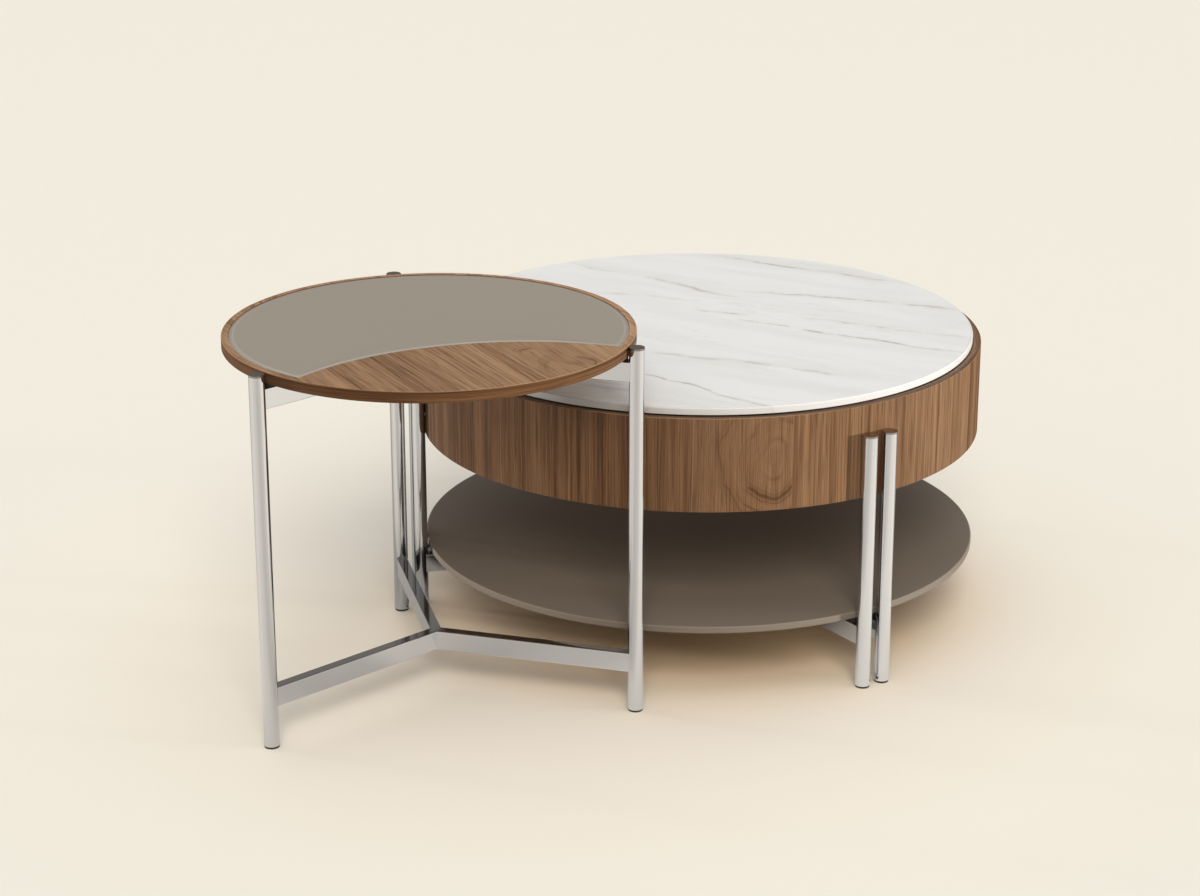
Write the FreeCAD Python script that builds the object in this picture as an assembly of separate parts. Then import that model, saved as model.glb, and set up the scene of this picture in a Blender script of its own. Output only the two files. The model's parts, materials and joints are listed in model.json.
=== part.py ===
# A nesting set of two round tables: a low drum-shaped coffee table with a stone-look top and an open
# shelf, and a taller side table with a glass crescent let into its walnut top, which slides over it.
# Millimetres, +Z up, floor at zero. +X runs from the side table to the coffee table, and the origin
# is on the floor under the middle of the whole set.
import FreeCAD
import Part
import math
import os

# Chromed steel tube of the legs, and the plastic ends pushed into it
tube_diameter = 19.0
tube_wall = 1.2
end_plug_length = 10.0
end_plug_clearance = 0.15
cap_thickness = 2.0
cap_round = 0.5
glide_thickness = 2.5
glide_inset = 0.4

# Chromed rectangular tube of the bars, coped and welded to the legs
bar_width = 14.0
bar_height = 25.0
bar_wall = 1.5
bar_round = 1.2
weld_gap = 0.05

# How near the legs stand to the wood
leg_to_wood = 0.3

# Side table
side_height = 470.0
side_top_diameter = 500.0
board_thickness = 14.0
board_edge_round = 1.2
leg_top_drop = 1.5
side_leg_names = ("outer", "front", "rear")
stretcher_height = 52.5
top_pad_height = 5.0
top_pad_diameter = 16.0
top_screw_from_hub = 80.0
top_screw_from_leg = 19.0

# Glass crescent let into the side table's board
glass_thickness = 4.0
glass_margin = 9.0
glass_clearance = 0.3
glass_bevel_width = 6.0
glass_bevel_depth = 0.7
hollow_radius = 304.5
hollow_distance = 380.0
hollow_angle = -115.2
bond_thickness = 0.5
bond_diameter = 24.0
bond_from_edge = 36.0
bond_count = 6
bond_spread = 190.0

# Machine screws that hold the side table's board from inside the bars, and their threaded inserts
top_screw_diameter = 5.0
top_screw_head_diameter = 8.5
top_screw_head_height = 5.0
top_screw_head_clearance = 0.5
insert_diameter = 8.0
insert_length = 7.0
thread_clearance = 0.05
hole_clearance = 0.3

# Coffee table
nest_gap = 26.6
coffee_height = 380.0
drum_diameter = 740.0
drum_height = 120.0
drum_wall = 18.0
drum_edge_round = 0.8
slab_thickness = 9.0
slab_inset = 11.0
slab_edge_round = 2.0
slab_under_round = 0.8
slab_pad_height = 1.0
slab_pad_diameter = 20.0
slab_pad_count = 8
slab_pad_from_edge = 60.0
deck_thickness = 15.0
base_thickness = 12.0
glue_gap = 0.1
rib_thickness = 15.0
rib_turn = 84.0
rib_to_bolts = 6.0
lap_clearance = 0.1
block_depth = 30.0
block_margin = 20.0

# Leg pairs of the coffee table, seen from above and counted from +X
pair_names = ("front", "far", "rear")
pair_angles = (-100.0, 22.5, 145.0)
pair_gap = 11.4
pair_top_drop = 35.5

# Bolts from inside the drum into a steel slug in each leg
bolt_diameter = 6.0
bolt_head_diameter = 10.0
bolt_head_height = 5.0
bolt_inset = 28.0
bolt_past_axis = 5.0
washer_diameter = 16.0
washer_thickness = 1.5
slug_overhang = 10.0
slug_clearance = 0.1

# Wood screws of the drum
wood_screw_diameter = 4.0
wood_screw_head_diameter = 8.0
wood_screw_head_height = 2.4
wood_screw_length = 36.0
wood_screw_inner = 110.0
wood_screw_outer = 240.0

# Shelf under the drum
shelf_top_height = 98.5
shelf_thickness = 9.0
shelf_edge_round = 1.5
shelf_clearance = 2.0
shelf_pad_height = 8.0
shelf_pad_diameter = 12.0
shelf_pad_inset = 3.0
shelf_pad_inner = 120.0

# Worked out from the sizes above
tube_radius = tube_diameter / 2
tube_bore = tube_radius - tube_wall
side_radius = side_top_diameter / 2
side_leg_circle = side_radius + leg_to_wood + tube_radius
side_leg_step = 360.0 / len(side_leg_names)
side_leg_half_step = math.radians(side_leg_step / 2)
side_leg_top = side_height - leg_top_drop
board_bottom = side_height - board_thickness
top_bar_top = board_bottom - top_pad_height
top_bar_bottom = top_bar_top - bar_height
top_screw_seat = top_bar_top - bar_wall
glass_radius = side_radius - glass_margin
glass_bottom = side_height - glass_thickness
bond_bottom = glass_bottom - bond_thickness
drum_radius = drum_diameter / 2
drum_bore = drum_radius - drum_wall
drum_top = coffee_height - slab_thickness - slab_pad_height
drum_bottom = drum_top - drum_height
deck_bottom = drum_top - deck_thickness
base_top = drum_bottom + base_thickness
panel_radius = drum_bore - glue_gap
slab_radius = drum_radius - slab_inset
nest_reach = drum_radius + nest_gap + tube_radius
nest_across = side_leg_circle * math.sin(side_leg_half_step)
nest_along = side_leg_circle * math.cos(side_leg_half_step)
nest_distance = nest_along + math.sqrt(nest_reach ** 2 - nest_across ** 2)
pair_leg_top = drum_top - pair_top_drop
pair_half = (tube_diameter + pair_gap) / 2
pair_reach = math.sqrt((drum_radius + leg_to_wood + tube_radius) ** 2 - pair_half ** 2)
bolt_heights = (drum_bottom + bolt_inset, pair_leg_top - bolt_inset)
block_face = drum_bore - block_depth
bolt_head_end = block_face - washer_thickness - bolt_head_height
rib_reach = bolt_head_end - rib_to_bolts
shelf_radius = drum_radius + leg_to_wood - shelf_clearance
shelf_bottom = shelf_top_height - shelf_thickness
shelf_bar_top = shelf_bottom - shelf_pad_height
shelf_bar_bottom = shelf_bar_top - bar_height
shelf_pad_outer = shelf_radius - shelf_pad_inset - shelf_pad_diameter / 2
past_everything = 2 * (side_top_diameter + drum_diameter)


# Small helpers
def at(x, y, z=0.0):
    return FreeCAD.Vector(x, y, z)


def heading(angle):
    return at(math.cos(math.radians(angle)), math.sin(math.radians(angle)))


def spot(centre, angle, along, across=0.0, z=0.0):
    return centre + heading(angle) * along + heading(angle + 90) * across + at(0, 0, z)


def post(foot, diameter, bottom, top):
    return Part.makeCylinder(diameter / 2, top - bottom, foot + at(0, 0, bottom))


def ring(foot, diameter, bore, bottom, top):
    return post(foot, diameter, bottom, top).cut(post(foot, bore, bottom, top))


def prism(corners, bottom, top):
    loop = [at(c.x, c.y, bottom) for c in corners]
    return Part.Face(Part.makePolygon(loop + loop[:1])).extrude(at(0, 0, top - bottom))


def rims(shape, z):
    return [e for e in shape.Edges if abs(e.BoundBox.ZMin - z) < 1e-6 and abs(e.BoundBox.ZMax - z) < 1e-6]


def crossing(first, first_way, second, second_way):
    spread = first_way.x * second_way.y - first_way.y * second_way.x
    step = second - first
    return first + first_way * ((step.x * second_way.y - step.y * second_way.x) / spread)


def save(name, *shapes):
    shape = shapes[0] if len(shapes) == 1 else Part.makeCompound(list(shapes))
    shape.exportStep(os.path.join("parts", name + ".step"))


# Where the two tables stand, so that the set's outline is centred on the origin
def pair_leg_foot(centre, angle, side):
    return spot(centre, angle, pair_reach, side * pair_half)


leg_offsets = [pair_leg_foot(at(0, 0), angle, side) for angle in pair_angles for side in (-1, 1)]
reach_left = nest_distance + side_leg_circle + tube_radius
reach_right = max([drum_radius] + [p.x + tube_radius for p in leg_offsets])
reach_front = max([drum_radius] + [tube_radius - p.y for p in leg_offsets])
reach_back = max([drum_radius] + [p.y + tube_radius for p in leg_offsets])
coffee = at((reach_left - reach_right) / 2, (reach_front - reach_back) / 2)
table = coffee - at(nest_distance, 0)
side_leg_angles = [180.0 + side_leg_step * n for n in range(len(side_leg_names))]


# Legs and bars, alike on both tables
def leg_tube(foot, top):
    return ring(foot, tube_diameter, 2 * tube_bore, glide_thickness, top - cap_thickness)


def end_plug(foot, bottom):
    return post(foot, 2 * (tube_bore - end_plug_clearance), bottom, bottom + end_plug_length)


def leg_cap(foot, top):
    disc = post(foot, tube_diameter, top - cap_thickness, top)
    disc = disc.makeFillet(cap_round, rims(disc, top))
    return disc.fuse(end_plug(foot, top - cap_thickness - end_plug_length))


def leg_glide(foot):
    disc = post(foot, tube_diameter - 2 * glide_inset, 0, glide_thickness)
    return disc.fuse(end_plug(foot, glide_thickness))


def bar_stock(start, angle, length, bottom):
    outer = Part.makeBox(length, bar_width, bar_height, at(0, -bar_width / 2))
    outer = outer.makeFillet(bar_round, [e for e in outer.Edges if e.BoundBox.XLength > length / 2])
    bore_width = bar_width - 2 * bar_wall
    bore_height = bar_height - 2 * bar_wall
    bar = outer.cut(Part.makeBox(length, bore_width, bore_height, at(0, -bore_width / 2, bar_wall)))
    bar.rotate(at(0, 0), at(0, 0, 1), angle)
    bar.translate(start + at(0, 0, bottom))
    return bar


def coped_to_leg(bar, foot):
    return bar.cut(post(foot, tube_diameter + 2 * weld_gap, 0, side_height))


# Side table: three legs, joined by a three-armed frame under the board and another near the floor
def side_leg_foot(angle):
    return spot(table, angle, side_leg_circle)


def hub_bar(angle, bottom):
    sides = [spot(table, angle + turn * side_leg_step / 2, past_everything) for turn in (-1, 1)]
    wedge = prism([table] + sides, bottom, bottom + bar_height)
    bar = bar_stock(table, angle, side_leg_circle, bottom).common(wedge)
    return coped_to_leg(bar, side_leg_foot(angle))


def top_screw_spots(angle):
    alongs = (top_screw_from_hub, side_leg_circle - top_screw_from_leg)
    return [spot(table, angle, along) for along in alongs]


def top_screw(place):
    head = post(place, top_screw_head_diameter, top_screw_seat - top_screw_head_height, top_screw_seat)
    return head.fuse(post(place, top_screw_diameter, top_screw_seat, board_bottom + insert_length))


def top_bar(angle):
    bar = hub_bar(angle, top_bar_bottom)
    shank_hole = top_screw_diameter + 2 * hole_clearance
    head_hole = top_screw_head_diameter + 2 * top_screw_head_clearance
    for place in top_screw_spots(angle):
        bar = bar.cut(post(place, shank_hole, top_screw_seat, top_bar_top))
        bar = bar.cut(post(place, head_hole, top_bar_bottom, top_bar_bottom + bar_wall))
    return bar


# Side table: the glass crescent and the board it lies in
def crescent_outline(grow, z):
    outer_radius = glass_radius + grow
    inner_radius = hollow_radius - grow
    turn = math.degrees(math.acos((outer_radius ** 2 + hollow_distance ** 2 - inner_radius ** 2)
                                  / (2 * outer_radius * hollow_distance)))
    tips = [spot(table, hollow_angle + side * turn, outer_radius, z=z) for side in (1, -1)]
    far_edge = spot(table, hollow_angle + 180, outer_radius, z=z)
    near_edge = spot(table, hollow_angle, hollow_distance - inner_radius, z=z)
    outer_arc = Part.Arc(tips[0], far_edge, tips[1]).toShape()
    inner_arc = Part.Arc(tips[1], near_edge, tips[0]).toShape()
    return Part.Wire([outer_arc, inner_arc])


def crescent(grow, bottom, top):
    return Part.Face(crescent_outline(grow, bottom)).extrude(at(0, 0, top - bottom))


def glass_crescent():
    bevel_start = side_height - glass_bevel_depth
    outlines = [crescent_outline(0, bevel_start), crescent_outline(-glass_bevel_width, side_height)]
    bevel = Part.makeLoft(outlines, True, True)
    return crescent(0, glass_bottom, bevel_start).fuse(bevel)


def bond_spots():
    step = bond_spread / (bond_count - 1)
    first = hollow_angle + 180 - bond_spread / 2
    return [spot(table, first + step * n, glass_radius - bond_from_edge) for n in range(bond_count)]


def side_board():
    board = post(table, side_top_diameter, board_bottom, side_height)
    board = board.makeFillet(board_edge_round, rims(board, board_bottom) + rims(board, side_height))
    board = board.cut(crescent(glass_clearance, bond_bottom, side_height))
    insert_hole = insert_diameter + 2 * thread_clearance
    for angle in side_leg_angles:
        for place in top_screw_spots(angle):
            board = board.cut(post(place, insert_hole, board_bottom, board_bottom + insert_length))
    return board


def build_side_table():
    save("side_top_board", side_board())
    save("glass_crescent", glass_crescent())
    save("glass_bond_dots", *[post(p, bond_diameter, bond_bottom, glass_bottom) for p in bond_spots()])
    feet = [side_leg_foot(angle) for angle in side_leg_angles]
    for name, angle, foot in zip(side_leg_names, side_leg_angles, feet):
        save("side_leg_" + name, leg_tube(foot, side_leg_top))
        save("side_top_bar_" + name, top_bar(angle))
        save("side_stretcher_" + name, hub_bar(angle, stretcher_height))
    save("side_leg_caps", *[leg_cap(foot, side_leg_top) for foot in feet])
    save("side_leg_glides", *[leg_glide(foot) for foot in feet])
    places = [place for angle in side_leg_angles for place in top_screw_spots(angle)]
    pad_bore = top_screw_diameter + 2 * hole_clearance
    insert_bore = top_screw_diameter + 2 * thread_clearance
    top = board_bottom + insert_length
    save("top_bar_pads", *[ring(p, top_pad_diameter, pad_bore, top_bar_top, board_bottom) for p in places])
    save("top_board_screws", *[top_screw(p) for p in places])
    save("top_board_inserts", *[ring(p, insert_diameter, insert_bore, board_bottom, top) for p in places])


# Coffee table: leg pairs and the bars under the shelf
def bar_face(angle, side, offset):
    return spot(coffee, angle, 0, side * (pair_half + offset))


def shelf_bar(index, side):
    angle = pair_angles[index]
    next_angle = pair_angles[(index + side) % len(pair_angles)]
    way = heading(angle)
    next_way = heading(next_angle)
    corners = [crossing(bar_face(angle, side, offset), way, bar_face(next_angle, -side, offset), next_way)
               for offset in (bar_width, -bar_width)]
    corners += [corner + way * past_everything for corner in reversed(corners)]
    start = spot(coffee, angle, -pair_reach, side * pair_half)
    bar = bar_stock(start, angle, 2 * pair_reach, shelf_bar_bottom)
    bar = bar.common(prism(corners, shelf_bar_bottom, shelf_bar_top))
    return coped_to_leg(bar, pair_leg_foot(coffee, angle, side))


def bolt_start(angle, side, z, along):
    return spot(coffee, angle, along, side * pair_half, z)


def radial_post(start, angle, diameter, length):
    return Part.makeCylinder(diameter / 2, length, start, heading(angle))


def bolt_hole(angle, side, z, clearance):
    length = pair_reach + bolt_past_axis - block_face
    return radial_post(bolt_start(angle, side, z, block_face), angle, bolt_diameter + 2 * clearance, length)


def leg_bolt(angle, side, z):
    head_start = bolt_start(angle, side, z, bolt_head_end)
    head = radial_post(head_start, angle, bolt_head_diameter, bolt_head_height)
    shank_from = bolt_head_end + bolt_head_height
    shank_length = pair_reach + bolt_past_axis - shank_from
    shank = radial_post(bolt_start(angle, side, z, shank_from), angle, bolt_diameter, shank_length)
    return head.fuse(shank)


def leg_washer(angle, side, z):
    start = bolt_start(angle, side, z, block_face - washer_thickness)
    disc = radial_post(start, angle, washer_diameter, washer_thickness)
    return disc.cut(radial_post(start, angle, bolt_diameter + 2 * hole_clearance, washer_thickness))


def drill(shape, clearance, legs):
    for angle, side in legs:
        for z in bolt_heights:
            shape = shape.cut(bolt_hole(angle, side, z, clearance))
    return shape


def coffee_leg(angle, side):
    tube = leg_tube(pair_leg_foot(coffee, angle, side), pair_leg_top)
    return drill(tube, hole_clearance, [(angle, side)])


def leg_slug(angle, side):
    foot = pair_leg_foot(coffee, angle, side)
    bottom = bolt_heights[0] - slug_overhang
    top = bolt_heights[1] + slug_overhang
    slug = post(foot, 2 * (tube_bore - slug_clearance), bottom, top)
    return drill(slug, thread_clearance, [(angle, side)])


# Coffee table: the drum, made of a bent hoop, two panels, crossed ribs and a block behind each leg pair
def drum_hoop(legs):
    hoop = post(coffee, drum_diameter, drum_bottom, drum_top)
    hoop = hoop.makeFillet(drum_edge_round, rims(hoop, drum_bottom) + rims(hoop, drum_top))
    hoop = hoop.cut(post(coffee, 2 * drum_bore, drum_bottom, drum_top))
    return drill(hoop, hole_clearance, legs)


def leg_block(angle):
    half = pair_half + block_margin
    corners = [spot(coffee, angle, along, across) for along, across in
               ((block_face, -half), (drum_radius, -half), (drum_radius, half), (block_face, half))]
    drum_room = post(coffee, 2 * panel_radius, base_top, deck_bottom)
    block = prism(corners, base_top, deck_bottom).common(drum_room)
    return drill(block, hole_clearance, [(angle, side) for side in (-1, 1)])


def wood_screw(place, z, upward, grow):
    shank_radius = wood_screw_diameter / 2 + grow
    head_radius = wood_screw_head_diameter / 2 + grow
    head = Part.makeCone(head_radius, shank_radius, wood_screw_head_height)
    screw = head.fuse(Part.makeCylinder(shank_radius, wood_screw_length))
    if not upward:
        screw.rotate(at(0, 0), at(1, 0), 180)
    screw.translate(place + at(0, 0, z))
    return screw


def wood_screw_spots():
    return [spot(coffee, rib_turn + quarter * 90, along) for quarter in range(4)
            for along in (wood_screw_inner, wood_screw_outer)]


def screwed(shape, z, upward):
    for place in wood_screw_spots():
        shape = shape.cut(wood_screw(place, z, upward, thread_clearance))
    return shape


def strip(turn, reach, half, bottom, top):
    ends = ((-reach, -half), (reach, -half), (reach, half), (-reach, half))
    return prism([spot(coffee, turn, along, across) for along, across in ends], bottom, top)


def rib(turn, lap_bottom, lap_top):
    lap_half = rib_thickness / 2 + lap_clearance
    board = strip(turn, rib_reach, rib_thickness / 2, base_top, deck_bottom)
    board = board.cut(strip(turn, lap_half, lap_half, lap_bottom, lap_top))
    return screwed(screwed(board, drum_top, False), drum_bottom, True)


def coffee_slab():
    slab = post(coffee, 2 * slab_radius, coffee_height - slab_thickness, coffee_height)
    slab = slab.makeFillet(slab_edge_round, rims(slab, coffee_height))
    return slab.makeFillet(slab_under_round, rims(slab, coffee_height - slab_thickness))


def slab_pad_spots():
    step = 360.0 / slab_pad_count
    return [spot(coffee, step * n, slab_radius - slab_pad_from_edge) for n in range(slab_pad_count)]


def shelf_panel():
    shelf = post(coffee, 2 * shelf_radius, shelf_bottom, shelf_top_height)
    return shelf.makeFillet(shelf_edge_round, rims(shelf, shelf_bottom) + rims(shelf, shelf_top_height))


def build_coffee_table():
    legs = [(angle, side) for angle in pair_angles for side in (-1, 1)]
    feet = [pair_leg_foot(coffee, angle, side) for angle, side in legs]
    save("marble_top", coffee_slab())
    slab_bottom = drum_top + slab_pad_height
    save("marble_top_pads", *[post(p, slab_pad_diameter, drum_top, slab_bottom) for p in slab_pad_spots()])
    save("drum_hoop", drum_hoop(legs))
    save("drum_deck", screwed(post(coffee, 2 * panel_radius, deck_bottom, drum_top), drum_top, False))
    save("drum_base", screwed(post(coffee, 2 * panel_radius, drum_bottom, base_top), drum_bottom, True))
    rib_middle = (base_top + deck_bottom) / 2
    save("drum_rib_lower", rib(rib_turn, rib_middle - lap_clearance, deck_bottom))
    save("drum_rib_upper", rib(rib_turn + 90, base_top, rib_middle + lap_clearance))
    save("drum_deck_screws", *[wood_screw(p, drum_top, False, 0) for p in wood_screw_spots()])
    save("drum_base_screws", *[wood_screw(p, drum_bottom, True, 0) for p in wood_screw_spots()])
    for index, name in enumerate(pair_names):
        save("leg_block_" + name, leg_block(pair_angles[index]))
        for letter, side in (("a", -1), ("b", 1)):
            save("coffee_leg_" + name + "_" + letter, coffee_leg(pair_angles[index], side))
            save("shelf_bar_" + name + "_" + letter, shelf_bar(index, side))
    save("coffee_leg_caps", *[leg_cap(foot, pair_leg_top) for foot in feet])
    save("coffee_leg_glides", *[leg_glide(foot) for foot in feet])
    save("coffee_leg_slugs", *[leg_slug(angle, side) for angle, side in legs])
    save("coffee_leg_bolts", *[leg_bolt(angle, side, z) for angle, side in legs for z in bolt_heights])
    save("coffee_leg_washers", *[leg_washer(angle, side, z) for angle, side in legs for z in bolt_heights])
    save("shelf_panel", shelf_panel())
    pad_places = [spot(coffee, angle, along, side * pair_half) for angle, side in legs
                  for along in (shelf_pad_inner, shelf_pad_outer)]
    save("shelf_pads", *[post(p, shelf_pad_diameter, shelf_bar_top, shelf_bottom) for p in pad_places])


os.makedirs("parts", exist_ok=True)
build_side_table()
build_coffee_table()
print("side table at", table.x, table.y, "coffee table at", coffee.x, coffee.y)
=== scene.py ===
# Looks of a nesting set: a walnut drum table with a stone-look top, and a taller side table beside it.
import bmesh
import bpy
import json
import math
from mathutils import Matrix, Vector


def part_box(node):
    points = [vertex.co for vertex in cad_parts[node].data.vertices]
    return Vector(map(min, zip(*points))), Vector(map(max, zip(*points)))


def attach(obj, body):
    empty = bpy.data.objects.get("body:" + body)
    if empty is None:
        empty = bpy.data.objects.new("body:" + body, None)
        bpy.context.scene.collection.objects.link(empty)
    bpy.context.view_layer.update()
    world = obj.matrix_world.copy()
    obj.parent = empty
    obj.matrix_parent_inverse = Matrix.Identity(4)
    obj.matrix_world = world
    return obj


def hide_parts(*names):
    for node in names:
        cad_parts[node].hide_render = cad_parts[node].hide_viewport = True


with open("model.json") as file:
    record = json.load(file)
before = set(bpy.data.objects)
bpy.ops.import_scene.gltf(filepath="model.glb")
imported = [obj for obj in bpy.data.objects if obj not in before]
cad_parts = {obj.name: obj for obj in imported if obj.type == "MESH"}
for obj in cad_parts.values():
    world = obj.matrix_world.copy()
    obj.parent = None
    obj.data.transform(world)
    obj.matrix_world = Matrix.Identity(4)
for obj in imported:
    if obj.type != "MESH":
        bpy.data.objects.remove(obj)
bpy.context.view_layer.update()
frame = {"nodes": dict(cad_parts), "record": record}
print("frame loaded with", len(frame["nodes"]), "nodes")


# Places read from the frame
def middle(node):
    low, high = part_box(node)
    return (low + high) / 2


def onFloor(place):
    return (place.x, place.y, 0.0)


sideCentre = middle("side_top_board")
coffeeCentre = middle("drum_hoop")
sideLegNames = ["side_leg_outer", "side_leg_front", "side_leg_rear"]
coffeeLegNames = ["coffee_leg_front_a", "coffee_leg_front_b", "coffee_leg_far_a", "coffee_leg_far_b",
                  "coffee_leg_rear_a", "coffee_leg_rear_b"]


# Shader helpers
def addNode(tree, kind, inputs=(), **settings):
    node = tree.nodes.new(kind)
    for key, value in settings.items():
        setattr(node, key, value)
    for key, value in dict(inputs).items():
        if isinstance(value, bpy.types.NodeSocket):
            tree.links.new(value, node.inputs[key])
        else:
            node.inputs[key].default_value = value
    return node


def calc(tree, operation, *values):
    return addNode(tree, "ShaderNodeMath", enumerate(values), operation=operation).outputs[0]


def vectorCalc(tree, operation, *vectors):
    return addNode(tree, "ShaderNodeVectorMath", enumerate(vectors), operation=operation).outputs


def vector(tree, x, y, z):
    return addNode(tree, "ShaderNodeCombineXYZ", {0: x, 1: y, 2: z}).outputs[0]


def noise(tree, place, look):
    inputs = {"Vector": place, "Scale": look.get("scale", 1.0), "Detail": look.get("detail", 2.0),
              "Roughness": look.get("roughness", 0.5)}
    return addNode(tree, "ShaderNodeTexNoise", inputs).outputs[0]


# A span holds the two ends of the value and, where they aren't 0 and 1, what they turn into
def remap(tree, value, low, high, toLow=0.0, toHigh=1.0, smooth=False):
    kind = "SMOOTHSTEP" if smooth else "LINEAR"
    return addNode(tree, "ShaderNodeMapRange", {0: value, 1: low, 2: high, 3: toLow, 4: toHigh},
                   interpolation_type=kind).outputs[0]


def patches(tree, place, look):
    return remap(tree, noise(tree, place, look), *look["span"])


def mixColour(tree, factor, first, second, blend="MIX"):
    return addNode(tree, "ShaderNodeMix", {0: factor, 6: first, 7: second}, data_type="RGBA",
                   blend_type=blend).outputs[2]


def ramp(tree, value, stops):
    node = addNode(tree, "ShaderNodeValToRGB", {0: value})
    elements = node.color_ramp.elements
    while len(elements) < len(stops):
        elements.new(1.0)
    for element, (position, colour) in zip(elements, stops):
        element.position = position
        element.color = (*colour, 1.0)
    return node.outputs[0]


def bump(tree, height, strength, distance):
    inputs = {"Height": height, "Strength": strength, "Distance": distance}
    return addNode(tree, "ShaderNodeBump", inputs).outputs[0]


def newFinish(name, **constants):
    material = bpy.data.materials.new(name)
    material.use_nodes = True
    shader = material.node_tree.nodes["Principled BSDF"]
    for key, value in constants.items():
        shader.inputs[key.replace("_", " ")].default_value = value
    return material, material.node_tree, shader


def plug(tree, shader, **sockets):
    for key, socket in sockets.items():
        tree.links.new(socket, shader.inputs[key.replace("_", " ")])


def objectPlace(tree):
    return addNode(tree, "ShaderNodeTexCoord").outputs["Object"]


# The edge tone marks rounded edges: wear and a painted highlight on the walnut, a painted highlight on the
# shelf, painted shade on the slab, a paler bevel on the glass
def edgeToneMask(tree):
    return addNode(tree, "ShaderNodeAttribute", attribute_name="edgeToneMark").outputs["Fac"]


# Walnut veneer, laid in leaves; the grain map runs along the fibres in u and across them in v, in metres
walnut = {
    "stops": [(0.0, (0.062, 0.027, 0.011)), (0.3, (0.150, 0.073, 0.033)),
              (0.55, (0.275, 0.156, 0.081)), (1.0, (0.515, 0.310, 0.174))],
    "poreColour": (0.050, 0.022, 0.010, 1.0),
    # Rounded edges are paler: partly wear, partly a painted highlight along the edge
    "edgeWearAndHighlightColour": (0.420, 0.280, 0.165, 1.0),
    "edgeWearAndHighlightShare": 0.30,
    "leafStep": 3.7,
    "leafTone": 0.16,
    # Streaks, by their scales along and across the fibres; calm is how far the figured leaf loses them
    "wander": {"along": 5.0, "across": 14.0, "reach": 0.016, "onStraight": 0.4},
    "ripple": {"along": 22.0, "across": 26.0, "reach": 0.036},
    "bands": {"along": 1.0, "across": 40.0, "depth": 0.50, "calm": 0.45},
    "lines": {"along": 1.5, "across": 330.0, "detail": 4.0, "roughness": 0.62, "depth": 0.64, "calm": 0.78},
    "darkLines": {"along": 1.8, "across": 115.0, "detail": 1.0, "span": (0.03, 0.22), "depth": 0.19,
                  "calm": 0.5},
    "fibres": {"along": 9.0, "across": 900.0, "depth": 0.62},
    "pores": {"along": 16.0, "across": 560.0, "span": (0.01, 0.17), "share": 0.42},
    # The oval of the figured leaf and the dark rings round it
    "ovalCore": 0.018,
    "arcs": {"along": 17.0, "across": 17.0, "detail": 1.0, "span": (-0.03, 0.13)},
    "rings": [
        {"reach": 0.027, "width": 0.0010, "depth": 0.09},
        {"reach": 0.044, "width": 0.0014, "depth": 0.27},
        {"reach": 0.048, "width": 0.0008, "depth": 0.15},
        {"reach": 0.060, "width": 0.0012, "depth": 0.26},
    ],
    "roughness": (-0.3, 0.3, 0.42, 0.54),
    "poreRoughness": 0.15,
    "relief": {"fibres": 0.4, "darkLines": 0.2, "strength": 0.35, "distance": 0.00015},
}


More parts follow.
